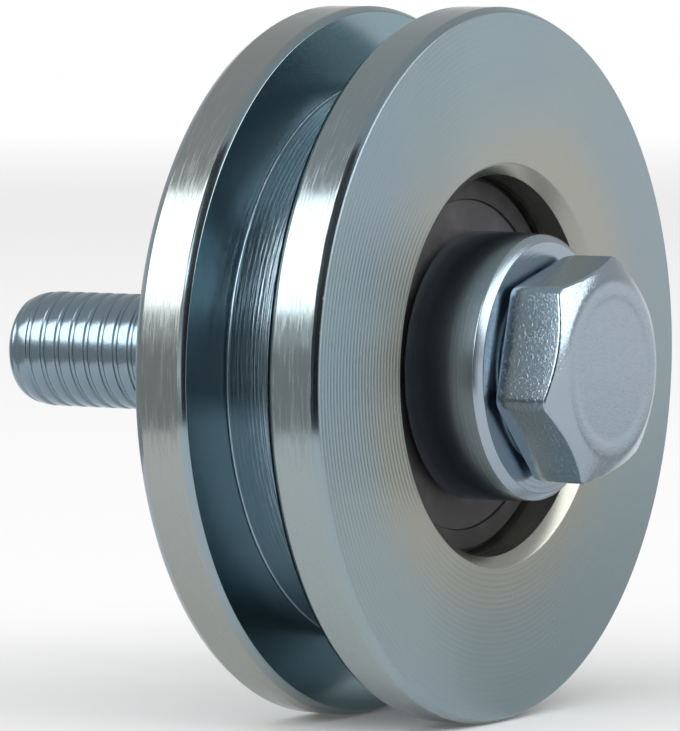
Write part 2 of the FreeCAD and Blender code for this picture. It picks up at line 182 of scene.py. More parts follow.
class FinishColours(bpy.types.PropertyGroup):
    """Colours of the finishes"""

    zinc_cool: colour("Zinc, Cool", (0.275, 0.357, 0.390), "Plated steel, main tone")
    zinc_blue: colour("Zinc, Blue", (0.262, 0.342, 0.405), "Bluish film on the plating")
    zinc_tan: colour("Zinc, Tan", (0.355, 0.362, 0.322), "Yellowish film on the plating")
    # Zinc, Deep: the darker, bluer tone that the groove's walls and floor take.
    zinc_deep: colour("Zinc, Deep", (0.225, 0.315, 0.352), "Thinner plating inside the groove")
    bolt_cool: colour("Bolt, Cool", (0.325, 0.405, 0.465), "Barrel-plated bolt, main tone")
    bolt_warm: colour("Bolt, Warm", (0.335, 0.393, 0.452), "Barrel-plated bolt, violet film")
    # Bolt, Thread: the darker tone that the thread takes, against the head's.
    bolt_thread: colour("Bolt, Thread", (0.235, 0.312, 0.366), "Rolled thread, duller plating")
    # Bearing Steel is near black as painted shade: the dark band of shade round the bearing, deep in the
    # bore.
    bearing: colour("Bearing Steel", (0.034, 0.033, 0.034), "Blackened rings")
    ball: colour("Ball Steel", (0.640, 0.645, 0.650), "Polished balls")
    cage: colour("Cage Steel", (0.420, 0.415, 0.400), "Pressed cage")
    rubber: colour("Seal Rubber", (0.056, 0.054, 0.057), "Moulded seals")
    floor: colour("Floor", (0.650, 0.650, 0.650), "Pale floor")


class StageSizes(bpy.types.PropertyGroup):
    """Camera and light"""

    azimuth: angle("Azimuth", -58.691, "Camera round the object")
    elevation: angle("Elevation", 3.822, "Camera above the horizon")
    distance: length("Distance", 529.284, "Camera to the wheel's front face")
    across: length("Across", -13.72, "Camera's own shift to its right")
    above: length("Above", 0.055, "Camera's own shift upwards")
    lens: number("Lens", 335.2, "Focal length in millimetres")
    sensor: number("Sensor", 36.0, "Sensor width in millimetres")
    backdrop_top: number("Backdrop Top", 0.26, "Sine of the height where the white backdrop ends")
    ceiling: number("Ceiling", 0.55, "Brightness of the studio above the backdrop")
    lamp_height: FloatProperty(name="Lamp Height", description="Soft panels above the axle", default=3.0,
                               unit="LENGTH")
    front_level: number("Front Lamp", 2.7, "Brightness of the front panel, with white paper at 1")
    left_level: number("Left Lamp", 3.4, "Brightness of the left panel, with white paper at 1")
    floor_glow: number("Floor Glow", 0.08, "Part of the floor's white that takes no shadow, near the wheel")
    far_glow: number("Far Glow", 0.42, "The same, where the floor meets the backdrop")


class GrooveWheelSettings(bpy.types.PropertyGroup):
    """All sizes and colours"""

    wheel: PointerProperty(type=WheelSizes)
    bearing: PointerProperty(type=BearingSizes)
    bush: PointerProperty(type=BushSizes)
    bolt: PointerProperty(type=BoltSizes)
    colours: PointerProperty(type=FinishColours)
    stage: PointerProperty(type=StageSizes)


# Shader maths

class Value:
    """Shader socket that takes part in Python arithmetic."""

    def __init__(self, finish, socket):
        self.finish = finish
        self.socket = socket

    def maths(self, operation, *operands):
        sockets = dict(enumerate(operands))
        return self.finish.node("ShaderNodeMath", {"operation": operation}, sockets)

    def __add__(self, other):
        return self.maths("ADD", self, other)

    def __sub__(self, other):
        return self.maths("SUBTRACT", self, other)

    def __mul__(self, other):
        return self.maths("MULTIPLY", self, other)

    def __truediv__(self, other):
        return self.maths("DIVIDE", self, other)

    def __radd__(self, other):
        return self.maths("ADD", other, self)

    def __rsub__(self, other):
        return self.maths("SUBTRACT", other, self)

    def __rmul__(self, other):
        return self.maths("MULTIPLY", other, self)

    def __rtruediv__(self, other):
        return self.maths("DIVIDE", other, self)

    def root(self):
        return self.maths("SQRT", self)

    def size(self):
        return self.maths("ABSOLUTE", self)

    def fraction(self):
        return self.maths("FRACT", self)

    def most(self, other):
        return self.maths("MAXIMUM", self, other)

    def over(self, limit):
        return self.maths("GREATER_THAN", self, limit)

    def under(self, limit):
        return self.maths("LESS_THAN", self, limit)

    def rise(self, low, high):
        """Smooth step from 0 at low to 1 at high."""
        settings = {"interpolation_type": "SMOOTHSTEP"}
        sockets = {"Value": self, "From Min": low, "From Max": high}
        return self.finish.node("ShaderNodeMapRange", settings, sockets)


class Finish:
    """Nodes of a material or a world, with positions in millimetres."""

    def __init__(self, owner):
        self.owner = owner
        owner.use_nodes = True
        self.tree = owner.node_tree
        self.tree.nodes.clear()

    def node(self, kind, settings=None, sockets=None, output=0):
        """New node: settings are set first, then the values or links of its sockets."""
        made = self.tree.nodes.new(kind)
        for key, setting in (settings or {}).items():
            setattr(made, key, setting)
        for key, value in (sockets or {}).items():
            if isinstance(value, Value):
                self.tree.links.new(value.socket, made.inputs[key])
            else:
                made.inputs[key].default_value = value
        return Value(self, made.outputs[output]) if made.outputs else None

    def mix(self, factor, first, second):
        """Blend of two colours."""
        first, second = [c if isinstance(c, Value) else (*c, 1) for c in (first, second)]
        settings = {"data_type": "RGBA", "clamp_factor": True}
        return self.node("ShaderNodeMix", settings, {0: factor, 6: first, 7: second}, output=2)

    def place(self):
        """Position on the piece, in millimetres."""
        position = self.node("ShaderNodeTexCoord", output="Object")
        settings = {"operation": "SCALE"}
        return self.node("ShaderNodeVectorMath", settings, {0: position, "Scale": 1 / MM})

    def parts(self, vector):
        """The three numbers of a vector."""
        split = self.node("ShaderNodeSeparateXYZ", None, {0: vector})
        return [Value(self, socket) for socket in split.socket.node.outputs]

    def vector(self, x, y, z):
        return self.node("ShaderNodeCombineXYZ", None, {0: x, 1: y, 2: z})

    def noise(self, vector, scale, detail=2.0, roughness=0.5):
        """Noise from 0 to 1, with scale in cycles for each millimetre."""
        sockets = {"Vector": vector, "Scale": scale, "Detail": detail, "Roughness": roughness}
        return self.node("ShaderNodeTexNoise", None, sockets)

    def bump(self, height, depth):
        """Normal of a height from 0 to 1 that stands for a depth in metres."""
        sockets = {"Strength": 1.0, "Distance": depth, "Height": height}
        return self.node("ShaderNodeBump", None, sockets)

    def principled(self, sockets):
        """Principled surface as the material's output."""
        return self.shown(self.node("ShaderNodeBsdfPrincipled", None, sockets))

    def shown(self, surface):
        """The material or world, with this surface as its output."""
        kind = "World" if isinstance(self.owner, bpy.types.World) else "Material"
        self.node("ShaderNodeOutput" + kind, None, {"Surface": surface})
        return self.owner


def new_finish(name):
    """Empty material to build on."""
    return Finish(bpy.data.materials.new(name))


# Finishes

# Tool feed in each turn of the wheel, in millimetres
FACE_FEED = 0.48
FLOOR_FEED = 0.53
BORE_FEED = 0.28
# Growth of a tool's track along the axle, against 1 across a face
TRACK_SLOPE = 1.3
# Radii in millimetres between which the tan film round the bore fades out
TAN_FADE = (16, 26)
# Places across the faces, in millimetres, between which the deeper tool marks fade out
MARKS_FADE = (-15, -3)


def turned_lines(finish, place, across, along, detail=2.0):
    """Noise drawn out into lines round the axle, in cycles for each millimetre across and along them."""
    x, y, z = finish.parts(place)
    track = (x * x + z * z).root() + y * TRACK_SLOPE
    return finish.noise(finish.vector(track * across, x * along, z * along), 1.0, detail=detail)


def clouded(finish, place, tone, share, scale=0.5, start=0.4, end=0.7):
    """Tone that drifts to a share of itself in soft clouds."""
    cloud = finish.noise(place, scale)
    return finish.mix(cloud.rise(start, end), tone, [channel * share for channel in tone])


def barrel_film(finish, place, scale, colours):
    """Barrel plating's own tone, with a drifting violet film."""
    film = finish.noise(place, scale, detail=1.5)
    return finish.mix(film.rise(0.38, 0.66), colours.bolt_cool, colours.bolt_warm)


def plating_tint(finish, place, near_bore, on_land, colours):
    """Zinc's own tone, with a drifting blue film, and a tan one near the bore and on the lands."""
    broad = finish.noise(place, 0.035, detail=1.5)
    drift = finish.noise(place, 0.022, detail=1.0)
    rear = finish.parts(place)[1].over(MID_PLANE / MM)
    drifting = drift.rise(0.40, 0.66) * (0.25 + 0.75 * near_bore)
    tan = drifting + 0.35 * near_bore + on_land * (0.25 + 0.3 * rear)
    tone = finish.mix(broad.rise(0.40, 0.64), colours.zinc_cool, colours.zinc_blue)
    return finish.mix(tan, tone, colours.zinc_tan)


def feed_marks(track, pitch):
    """Tool marks: one shallow scallop in each turn's feed."""
    from_middle = (track / pitch).fraction() - 0.5
    return from_middle * from_middle * 4


def turned_zinc(colours, sizes, seat_radius):
    """Turned and zinc plated steel, with tool marks that follow the axle."""
    finish = new_finish("wheel_zinc")
    place = finish.place()
    x, y, z = finish.parts(place)
    radius = (x * x + z * z).root()
    from_middle = (y - MID_PLANE / MM).size()
    half_width = (WHEEL_HIGH.y - WHEEL_LOW.y) / 2 / MM
    half_groove = sizes.groove_width / 2 / MM
    land = sizes.radius / MM
    floor = (sizes.radius - sizes.groove_depth) / MM
    # Masks of the wheel's surfaces
    on_face = from_middle.rise(half_width - 0.15, half_width - 0.05)
    on_land = radius.rise(land - 0.12, land - 0.04)
    in_groove = 1 - from_middle.rise(half_groove - 0.02, half_groove + 0.1)
    on_floor = in_groove * radius.under(floor + 0.1)
    in_bore = radius.under((seat_radius + sizes.mouth_chamfer) / MM) * (1 - on_face)
    near_bore = 1 - radius.rise(*TAN_FADE)
    deeper = on_face * (1 - x.rise(*MARKS_FADE))
    # Marks that turning and handling leave on them
    track = radius + y * TRACK_SLOPE
    wander = finish.noise(place, 0.12)
    hair = turned_lines(finish, place, 7.0, 0.05)
    scuffs = turned_lines(finish, place, 4.5, 0.35, detail=2.5)
    specks = finish.noise(place, 2.6, detail=1.0).rise(0.68, 0.74)
    face_marks = feed_marks(track, FACE_FEED) * (0.26 * on_face + deeper * (0.6 + 0.9 * wander))
    faces = face_marks + 0.5 * specks * on_face
    floors = (feed_marks(track, FLOOR_FEED) * (0.1 + 0.5 * wander) + 1.2 * scuffs + 0.4 * hair) * on_floor
    bores = feed_marks(track, BORE_FEED) * in_bore * 0.5
    lands = (0.5 * scuffs + 0.12 * hair) * on_land
    tint = plating_tint(finish, place, near_bore, on_land, colours)
    deep = finish.mix(0.7 * on_floor, colours.zinc_deep, colours.zinc_blue)
    return finish.principled({
        "Base Color": finish.mix(in_groove, tint, deep),
        "Metallic": 1.0,
        "Roughness": 0.10 + 0.17 * on_face + 0.10 * deeper + 0.15 * on_land * scuffs.rise(0.42, 0.70)
        + 0.05 * in_groove + 0.03 * on_floor + 0.12 * in_bore + 0.08 * hair,
        "Normal": finish.bump(faces + floors + bores + lands + hair * (0.05 + 0.16 * on_face), 18 * MICRON),
    })


def bush_zinc(colours):
    """Turned and barrel-plated bush: fine lines and a faint grain."""
    finish = new_finish("bush_zinc")
    place = finish.place()
    hair = turned_lines(finish, place, 9.0, 0.06)
    grain = finish.noise(place, 5.0, detail=3.0, roughness=0.6)
    return finish.principled({
        "Base Color": barrel_film(finish, place, 0.09, colours),
        "Metallic": 1.0,
        "Roughness": 0.205 + 0.05 * grain,
        "Normal": finish.bump(hair * 0.6 + grain * 0.05, 14 * MICRON),
    })


def forged_zinc(colours):
    """Forged and barrel-plated bolt: soft orange peel with fine pits, and bright flecks on the head."""
    finish = new_finish("bolt_zinc")
    place = finish.place()
    on_thread = finish.parts(place)[1].over(HEAD_PLANE / MM / 2)
    peel = finish.noise(place, 0.9)
    pits = finish.noise(place, 5.5, detail=3.0, roughness=0.62)
    flecks = finish.noise(place, 4.2).rise(0.55, 0.72) * (1 - on_thread)
    forged = barrel_film(finish, place, 0.12, colours)
    return finish.principled({
        "Base Color": finish.mix(on_thread, forged, colours.bolt_thread),
        "Metallic": 1.0,
        "Roughness": 0.12 + 0.14 * pits,
        "Normal": finish.bump(peel * 0.3 + pits * (0.45 - 0.2 * on_thread) + flecks * 0.35, 24 * MICRON),
    })


def ground_steel(name, tone, roughness, depth):
    """Bare steel with hair lines round the axle."""
    finish = new_finish(name)
    place = finish.place()
    hair = turned_lines(finish, place, 12.0, 0.08)
    return finish.principled({
        "Base Color": clouded(finish, place, tone, 0.88),
        "Metallic": 1.0,
        "Roughness": roughness + 0.08 * hair,
        "Normal": finish.bump(hair, depth),
    })


def painted_shade_black_steel(colours):
    """Ground bearing steel, painted near black: painted shade for the dark band round the bearing deep in the
    bore.
    """
    finish = new_finish("bearing_steel")
    place = finish.place()
    hair = turned_lines(finish, place, 12.0, 0.08)
    return finish.principled({
        "Base Color": clouded(finish, place, colours.bearing, 1.4),
        "Roughness": 0.42 + 0.12 * hair,
        "Specular IOR Level": 0.25,
        "Normal": finish.bump(hair, 3 * MICRON),
    })


def moulded_rubber(colours):
    """Matt black rubber with a fine moulded grain."""
    finish = new_finish("seal_rubber")
    place = finish.place()
    grain = finish.noise(place, 7.0, detail=3.0, roughness=0.6)
    return finish.principled({
        "Base Color": clouded(finish, place, colours.rubber, 1.5, scale=0.35, start=0.45, end=0.75),
        "Roughness": 0.52 + 0.14 * grain,
        "Specular IOR Level": 0.4,
        "Normal": finish.bump(grain, 12 * MICRON),
    })


# Mesh helpers

# Least angles between faces whose edge is rounded, on turned pieces and on the bolt's head
TURNED_SHARP = math.radians(12)
HEAD_SHARP = math.radians(18)


def axle_radius(vertex):
    """Distance of a vertex from the axle."""
    return math.hypot(vertex.co.x, vertex.co.z)


def is_level(edge):
    """Whether an edge lies in one plane across the axle."""
    first, second = edge.verts
    return abs(first.co.y - second.co.y) < MICRON


def edge_ends(edges):
    """Vertices of some edges, each once."""
    return {vertex for edge in edges for vertex in edge.verts}


def spun(outline, segments):
    """Closed outline of (radius, place) points, turned round the axle."""
    mesh = bmesh.new()
    corners = [mesh.verts.new((radius, place, 0)) for radius, place in outline]
    sides = [mesh.edges.new(pair) for pair in zip(corners, corners[1:] + corners[:1])]
    bmesh.ops.spin(mesh, geom=corners + sides, cent=CENTRE, axis=AXLE, angle=FULL_TURN,
                   steps=segments, use_merge=True)
    bmesh.ops.remove_doubles(mesh, verts=mesh.verts, dist=MICRON)
    bmesh.ops.recalc_face_normals(mesh, faces=mesh.faces)
    return mesh


def rings(mesh, chosen=lambda radius, place: True):
    """Sharp edges that run round the axle, at the chosen radius and place."""
    found = []
    for edge in mesh.edges:
        first, second = edge.verts
        round_axle = is_level(edge) and abs(axle_radius(first) - axle_radius(second)) < MICRON
        if round_axle and edge.calc_face_angle(0) > TURNED_SHARP and chosen(axle_radius(first), first.co.y):
            found.append(edge)
    return found


def bevel(mesh, edges, offset, segments=2):
    """Rounded edges."""
    bmesh.ops.bevel(mesh, geom=edges, offset=offset, offset_type="OFFSET", affect="EDGES",
                    segments=segments, profile=0.5, material=-1, clamp_overlap=True)


def mesh_object(name, mesh, material):
    """Object made from a mesh, in the scene."""
    data = bpy.data.meshes.new(name)
    mesh.to_mesh(data)
    mesh.free()
    data.materials.append(material)
    made = bpy.data.objects.new(name, data)
    bpy.context.scene.collection.objects.link(made)
    return made


def add_piece(name, mesh, material, body, slot, *nodes):
    """Smooth piece of the wheel that rides on a body in place of its solids."""
    for face in mesh.faces:
        face.smooth = True
    piece = mesh_object(name, mesh, material)
    piece.modifiers.new("Weighted normals", "WEIGHTED_NORMAL").keep_sharp = True
    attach(piece, body)
    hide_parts(*nodes)


def add_stage(name, mesh, material):
    """Object that is not part of the wheel."""
    thing = mesh_object(name, mesh, material)
    return thing


def mirrored(outline, middle):
    """Outline's points on the other side of a plane across the axle, in reverse order."""
    return [(radius, 2 * middle - place) for radius, place in reversed(outline)]


def arc(centre_radius, centre_place, radius, start, end, segments):
    """Points of an arc, from one angle to another."""
    step = (end - start) / segments
    angles = [start + step * index for index in range(segments + 1)]
    return [(centre_radius + radius * math.cos(turn), centre_place + radius * math.sin(turn))
            for turn in angles]


# Pieces

def wheel_mesh(sizes, seat_radius, seat_end):
    """Two flanges, a square groove, and a bearing seat with a rear lip."""
    half = (WHEEL_HIGH.y - WHEEL_LOW.y) / 2
    half_groove = sizes.groove_width / 2
    floor = sizes.radius - sizes.groove_depth
    shoulder = sizes.radius - sizes.chamfer_depth
    lip = seat_radius - sizes.lip_height
    flange = [
        (shoulder, MID_PLANE - half),
        (sizes.radius, MID_PLANE - half + sizes.chamfer_width),
        (sizes.radius, MID_PLANE - half_groove - sizes.chamfer_width),
        (shoulder, MID_PLANE - half_groove),
        (floor, MID_PLANE - half_groove),
    ]
    bore = [
        (lip + sizes.lip_chamfer, WHEEL_HIGH.y),
        (lip, WHEEL_HIGH.y - sizes.lip_chamfer),
        (lip, seat_end),
        (seat_radius, seat_end),
        (seat_radius, WHEEL_LOW.y + sizes.mouth_chamfer),
        (seat_radius + sizes.mouth_chamfer, WHEEL_LOW.y),
    ]
    mesh = spun(flange + mirrored(flange, MID_PLANE) + bore, sizes.segments)
    corners = rings(mesh, lambda radius, place: abs(radius - floor) < MICRON)
    bevel(mesh, corners, sizes.groove_corner, segments=4)
    edges = rings(mesh, lambda radius, place: abs(radius - floor) > sizes.groove_depth / 4)
    bevel(mesh, edges, sizes.edge)
    return mesh


class GROOVEWHEEL_OT_wheel(bpy.types.Operator):
    """Turn the grooved wheel and plate it"""

    bl_idname = "groovewheel.wheel"
    bl_label = "Grooved Wheel"

    def execute(self, context):
        settings = context.scene.groove_wheel
        seat_radius = settings.bearing.outer_radius
        material = turned_zinc(settings.colours, settings.wheel, seat_radius)
        mesh = wheel_mesh(settings.wheel, seat_radius, RING_HIGH.y)
        add_piece("track_wheel", mesh, material, "wheel", "wheel_zinc", "grooved_wheel")
        return {"FINISHED"}


def outer_ring_mesh(sizes):
    """Outer ring with its ball track and a seal seat at each face."""
    shoulder = sizes.pitch_radius + sizes.shoulder_gap / 2
    seat = shoulder + sizes.seal_step
    seal_face = RING_LOW.y + sizes.seal_depth
    half_opening = math.acos((shoulder - sizes.pitch_radius) / sizes.track_radius)
    track = arc(sizes.pitch_radius, MID_PLANE, sizes.track_radius, half_opening, -half_opening,
                sizes.track_segments)
    side = [
        (shoulder, seal_face),
        (seat, seal_face),
        (seat, RING_LOW.y),
        (sizes.outer_radius - sizes.ring_chamfer, RING_LOW.y),
        (sizes.outer_radius, RING_LOW.y + sizes.ring_chamfer),
    ]
    mesh = spun(side + mirrored(side, MID_PLANE) + track, sizes.segments)
    bevel(mesh, rings(mesh, lambda radius, place: radius > shoulder + MICRON), sizes.edge)
    return mesh


def inner_ring_mesh(sizes):
    """Inner ring with its ball track."""
    shoulder = sizes.pitch_radius - sizes.shoulder_gap / 2
    half_opening = math.acos((sizes.pitch_radius - shoulder) / sizes.track_radius)
    track = arc(sizes.pitch_radius, MID_PLANE, sizes.track_radius, math.pi + half_opening,
                math.pi - half_opening, sizes.track_segments)
    side = [
        (shoulder, RING_LOW.y),
        (sizes.bore_radius + sizes.ring_chamfer, RING_LOW.y),
        (sizes.bore_radius, RING_LOW.y + sizes.ring_chamfer),
    ]
    mesh = spun(side + mirrored(side, MID_PLANE) + track[::-1], sizes.segments)
    near_end = sizes.width * 0.4
    bevel(mesh, rings(mesh, lambda radius, place: abs(place - MID_PLANE) > near_end), sizes.edge)
    return mesh


class GROOVEWHEEL_OT_rings(bpy.types.Operator):
    """Grind the bearing's two rings"""

    bl_idname = "groovewheel.rings"
    bl_label = "Bearing Rings"

    def execute(self, context):
        settings = context.scene.groove_wheel
        # The rings' near-black finish is painted shade deep in the bore.
        material = painted_shade_black_steel(settings.colours)
        add_piece("outer_ring", outer_ring_mesh(settings.bearing), material, "wheel", "bearing_steel",
                  "bearing_outer_ring")
        add_piece("inner_ring", inner_ring_mesh(settings.bearing), material, "axle", "bearing_steel",
                  "bearing_inner_ring")
        return {"FINISHED"}


def seal_mesh(sizes, rear):
    """Flat seal from its seat in the outer ring to its lip at the inner ring."""
    seat = sizes.pitch_radius + sizes.shoulder_gap / 2 + sizes.seal_step
    lip = sizes.pitch_radius - sizes.shoulder_gap / 2 + sizes.lip_gap
    back = RING_LOW.y + sizes.seal_depth
    face = back - sizes.seal_thickness
    outline = [(lip, back), (seat, back), (seat, face), (lip, face)]
    mesh = spun(mirrored(outline, MID_PLANE) if rear else outline, sizes.segments)
    bevel(mesh, rings(mesh), sizes.seal_edge)
    return mesh


class GROOVEWHEEL_OT_seals(bpy.types.Operator):
    """Mould the bearing's two seals"""

    bl_idname = "groovewheel.seals"
    bl_label = "Seals"

    def execute(self, context):
        settings = context.scene.groove_wheel
        material = moulded_rubber(settings.colours)
        for name, node, rear in (("seal_front", "front_seal", False), ("seal_rear", "rear_seal", True)):
            add_piece(name, seal_mesh(settings.bearing, rear), material, "wheel", "seal_rubber", node)
        return {"FINISHED"}


def bush_mesh(sizes, rear):
    """Spacer bush: body that draws in at its end, collar on the inner ring, spigot in it, bolt hole."""
    body_end = RING_LOW.y - sizes.seal_gap
    outline = [
        (sizes.bore_radius + sizes.mouth, HEAD_PLANE),
        (sizes.radius - sizes.chamfer, HEAD_PLANE),
        (sizes.radius - sizes.taper_depth, HEAD_PLANE + sizes.chamfer - sizes.taper_depth),
        (sizes.radius, HEAD_PLANE + sizes.taper_length),
        (sizes.radius, body_end - sizes.edge_break),
        (sizes.radius - sizes.edge_break, body_end),
        (sizes.collar_radius, body_end),
        (sizes.collar_radius, RING_LOW.y),
        (sizes.spigot_radius, RING_LOW.y),
        (sizes.spigot_radius, BUSH_HIGH.y),
        (sizes.bore_radius, BUSH_HIGH.y),
        (sizes.bore_radius, HEAD_PLANE + sizes.mouth),
    ]
    mesh = spun(mirrored(outline, MID_PLANE) if rear else outline, sizes.segments)
    bevel(mesh, rings(mesh), sizes.edge)
    return mesh


class GROOVEWHEEL_OT_bushes(bpy.types.Operator):
    """Turn the two spacer bushes and plate them"""

    bl_idname = "groovewheel.bushes"
    bl_label = "Spacer Bushes"

    def execute(self, context):
        settings = context.scene.groove_wheel
        material = bush_zinc(settings.colours)
        for name, node, rear in (("bush_front", "front_bush", False), ("bush_rear", "rear_bush", True)):
            add_piece(name, bush_mesh(settings.bush, rear), material, "axle", "bush_zinc", node)
        return {"FINISHED"}


def drawn_out(mesh, edges, move):
    """Loop of edges extruded, with each new vertex moved; gives the new loop."""
    made = bmesh.ops.extrude_edge_only(mesh, edges=edges)["geom"]
    loop = [item for item in made if isinstance(item, bmesh.types.BMEdge)]
    for vertex in edge_ends(loop):
        vertex.co = move(vertex.co)
    return loop


def ring_point(radius, place):
    """Move that takes a vertex to a circle round the axle, at its own angle."""
    def move(point):
        reach = radius / math.hypot(point.x, point.z)
        return Vector((point.x * reach, place, point.z * reach))
    return move


def open_edges(mesh, place):
    """Border edges that lie at a place along the axle."""
    return [edge for edge in mesh.edges
            if edge.is_boundary and all(abs(corner.co.y - place) < 2 * MICRON for corner in edge.verts)]


def thread_outline(sizes):
    """Rolled thread's section over one pitch: broad crest, flanks at 30 degrees, narrow root."""
    depth = sizes.thread_radius - sizes.root_radius
    crest = sizes.crest_width / 2
    foot = crest + depth * math.tan(math.radians(30))
    blend = sizes.thread_blend
    side = [
        (sizes.thread_radius, 0),
        (sizes.thread_radius - depth * 0.01, crest * 0.5),
        (sizes.thread_radius - depth * 0.06, crest - blend),
        (sizes.thread_radius - depth * 0.22, crest + blend / 2),
        (sizes.root_radius + depth * 0.22, foot - blend / 2),
        (sizes.root_radius + depth * 0.04, foot + blend),
    ]
    far = [(radius, sizes.pitch - place) for radius, place in reversed(side)]
    return side + [(sizes.root_radius, sizes.pitch / 2)] + far


# Rings on the bolt's tip: shares of the rounded end's length, then shares of its last radius
TIP_RINGS = (0.86, 0.91, 0.95, 0.98, 1)
END_RINGS = (0.8, 0.4)


def tip_radius(sizes, past):
    """Radius of the bolt's rounded tip at a share of the tip's length."""
    return sizes.thread_radius - sizes.tip_depth * (1 - math.sqrt(1 - past * past))


def add_thread(mesh, sizes, start, tip):
    """Right-handed thread between two places, with a rounded and closed end."""
    outline = thread_outline(sizes)
    # The first turn starts early, so that the cut at the start goes through whole turns
    first = start - 1.5 * sizes.pitch
    corners = [mesh.verts.new((radius, first + place, 0)) for radius, place in outline]
    sides = [mesh.edges.new(pair) for pair in zip(corners, corners[1:])]
    bmesh.ops.spin(mesh, geom=corners + sides, cent=CENTRE, axis=AXLE, angle=FULL_TURN, steps=sizes.steps,
                   dvec=(0, sizes.pitch / sizes.steps, 0))
    one_turn = mesh.verts[:] + mesh.edges[:] + mesh.faces[:]
    for turn in range(1, math.ceil((tip - first) / sizes.pitch) + 1):
        copy = bmesh.ops.duplicate(mesh, geom=one_turn)["geom"]
        copied = [item for item in copy if isinstance(item, bmesh.types.BMVert)]
        bmesh.ops.translate(mesh, verts=copied, vec=(0, sizes.pitch * turn, 0))
    bmesh.ops.remove_doubles(mesh, verts=mesh.verts, dist=10 * MICRON)
    for vertex in mesh.verts:
        past = min(1, max(0, 1 + (vertex.co.y - tip) / sizes.tip_length))
        depth = (sizes.thread_radius - axle_radius(vertex)) * (1 - past)
        if past > 0:
            vertex.co = ring_point(tip_radius(sizes, past) - depth, vertex.co.y)(vertex.co)
    thread_end = tip - sizes.tip_length * sizes.plain_tip
    for place, outward in ((thread_end, 1), (start, -1)):
        everything = mesh.verts[:] + mesh.edges[:] + mesh.faces[:]
        bmesh.ops.bisect_plane(mesh, geom=everything, dist=MICRON, plane_co=(0, place, 0),
                               plane_no=(0, outward, 0), clear_outer=True)
    rim = open_edges(mesh, thread_end)
    for past in TIP_RINGS:
        rim = drawn_out(mesh, rim, ring_point(tip_radius(sizes, past), tip - sizes.tip_length * (1 - past)))
    hollow = tip - sizes.tip_depth / 8
    for share in END_RINGS:
        rim = drawn_out(mesh, rim, ring_point(tip_radius(sizes, 1) * share, hollow))
    bmesh.ops.holes_fill(mesh, edges=rim, sides=0)


# Sides of the bolt's head, and cuts across each of them that let the crown's edge curve
HEAD_SIDES = 6
FLAT_CUTS = 15


def add_head(mesh, sizes, underside, top):
    """Hexagon whose flats draw in at the underside, with rounded corners, a soft crown and a shallow dish."""
    corner = sizes.across_flats / math.sqrt(3)
    turn = math.pi / HEAD_SIDES - sizes.turn
    upright = Matrix.Rotation(turn, 4, "Y") @ Matrix.Rotation(math.pi / 2, 4, "X")
    made = bmesh.ops.create_circle(mesh, segments=HEAD_SIDES, radius=corner - sizes.turned_in, cap_ends=False,
                                   matrix=Matrix.Translation((0, underside, 0)) @ upright)
    loop = list({edge for vertex in made["verts"] for edge in vertex.link_edges})
    for share in (0.25, 0.5, 0.75, 1):
        radius = corner - sizes.turned_in * (1 - share) ** 2
        loop = drawn_out(mesh, loop, ring_point(radius, underside - sizes.turned_height * share))
    drawn_out(mesh, loop, ring_point(corner, top))
    head = [face for face in mesh.faces if all(vertex.co.y < underside + MICRON for vertex in face.verts)]
    uprights = {edge for face in head for edge in face.edges if not is_level(edge)}
    bevel(mesh, list(uprights), sizes.corner_radius, segments=4)
    across = {edge for face in mesh.faces if face.calc_center_median().y < underside for edge in face.edges
              if is_level(edge) and edge.calc_length() > sizes.corner_radius * 4}
    bmesh.ops.subdivide_edges(mesh, edges=list(across), cuts=FLAT_CUTS, use_grid_fill=True)
    rim = open_edges(mesh, top)
    fall = math.tan(sizes.crown_angle)
    for vertex in edge_ends(rim):
        vertex.co.y = top + (axle_radius(vertex) - sizes.crown_radius) * fall
    blend = sizes.crown_blend
    for share in (1, 0.5, 0, -0.5, -1):
        rim = drawn_out(mesh, rim, ring_point(sizes.crown_radius + blend * share,
                                              top + fall * blend * (share + 1) ** 2 / 4))
    for share in (0, 0.2, 0.4, 0.6, 0.8, 1):
        sunk = sizes.dish_depth * share * share * (3 - 2 * share)
        rim = drawn_out(mesh, rim, ring_point(sizes.dish_radius - sizes.dish_slope * share, top + sunk))
    inside = sizes.dish_radius - sizes.dish_slope
    for share in (0.95, 0.5):
        rim = drawn_out(mesh, rim, ring_point(inside * share, top + sizes.dish_depth))
    bmesh.ops.holes_fill(mesh, edges=rim, sides=0)


def bolt_mesh(sizes):
    """Bolt from its head to its thread's tip, as one shell."""
    underside = HEAD_PLANE - sizes.face_height
    mesh = bmesh.new()
    add_thread(mesh, sizes, 0, BOLT_HIGH.y)
    add_head(mesh, sizes, underside, BOLT_LOW.y)
    fillet = sizes.shank_fillet
    bend = fillet * 0.3
    outline = [
        (sizes.face_radius, underside),
        (sizes.face_radius, HEAD_PLANE),
        (sizes.shank_radius + fillet, HEAD_PLANE),
        (sizes.shank_radius + bend, HEAD_PLANE + bend),
        (sizes.shank_radius, HEAD_PLANE + fillet),
        (sizes.shank_radius, -sizes.run_out),
    ]
    stem = open_edges(mesh, underside)
    for radius, place in outline:
        stem = drawn_out(mesh, stem, ring_point(radius, place))
    head_edges = [edge for edge in mesh.edges
                  if edge.calc_face_angle(0) > HEAD_SHARP
                  and all(vertex.co.y < HEAD_PLANE + MICRON and axle_radius(vertex) > sizes.crown_radius
                          for vertex in edge.verts)]
    bevel(mesh, head_edges, sizes.edge, segments=3)
    bmesh.ops.bridge_loops(mesh, edges=open_edges(mesh, -sizes.run_out) + open_edges(mesh, 0))
    bmesh.ops.recalc_face_normals(mesh, faces=mesh.faces)
    return mesh


class GROOVEWHEEL_OT_bolt(bpy.types.Operator):
    """Forge the hexagon bolt, roll its thread and plate it"""

    bl_idname = "groovewheel.bolt"
    bl_label = "Hexagon Bolt"

    def execute(self, context):
        settings = context.scene.groove_wheel
        mesh = bolt_mesh(settings.bolt)
        add_piece("axle_bolt", mesh, forged_zinc(settings.colours), "axle", "bolt_zinc", "hex_bolt")
        return {"FINISHED"}


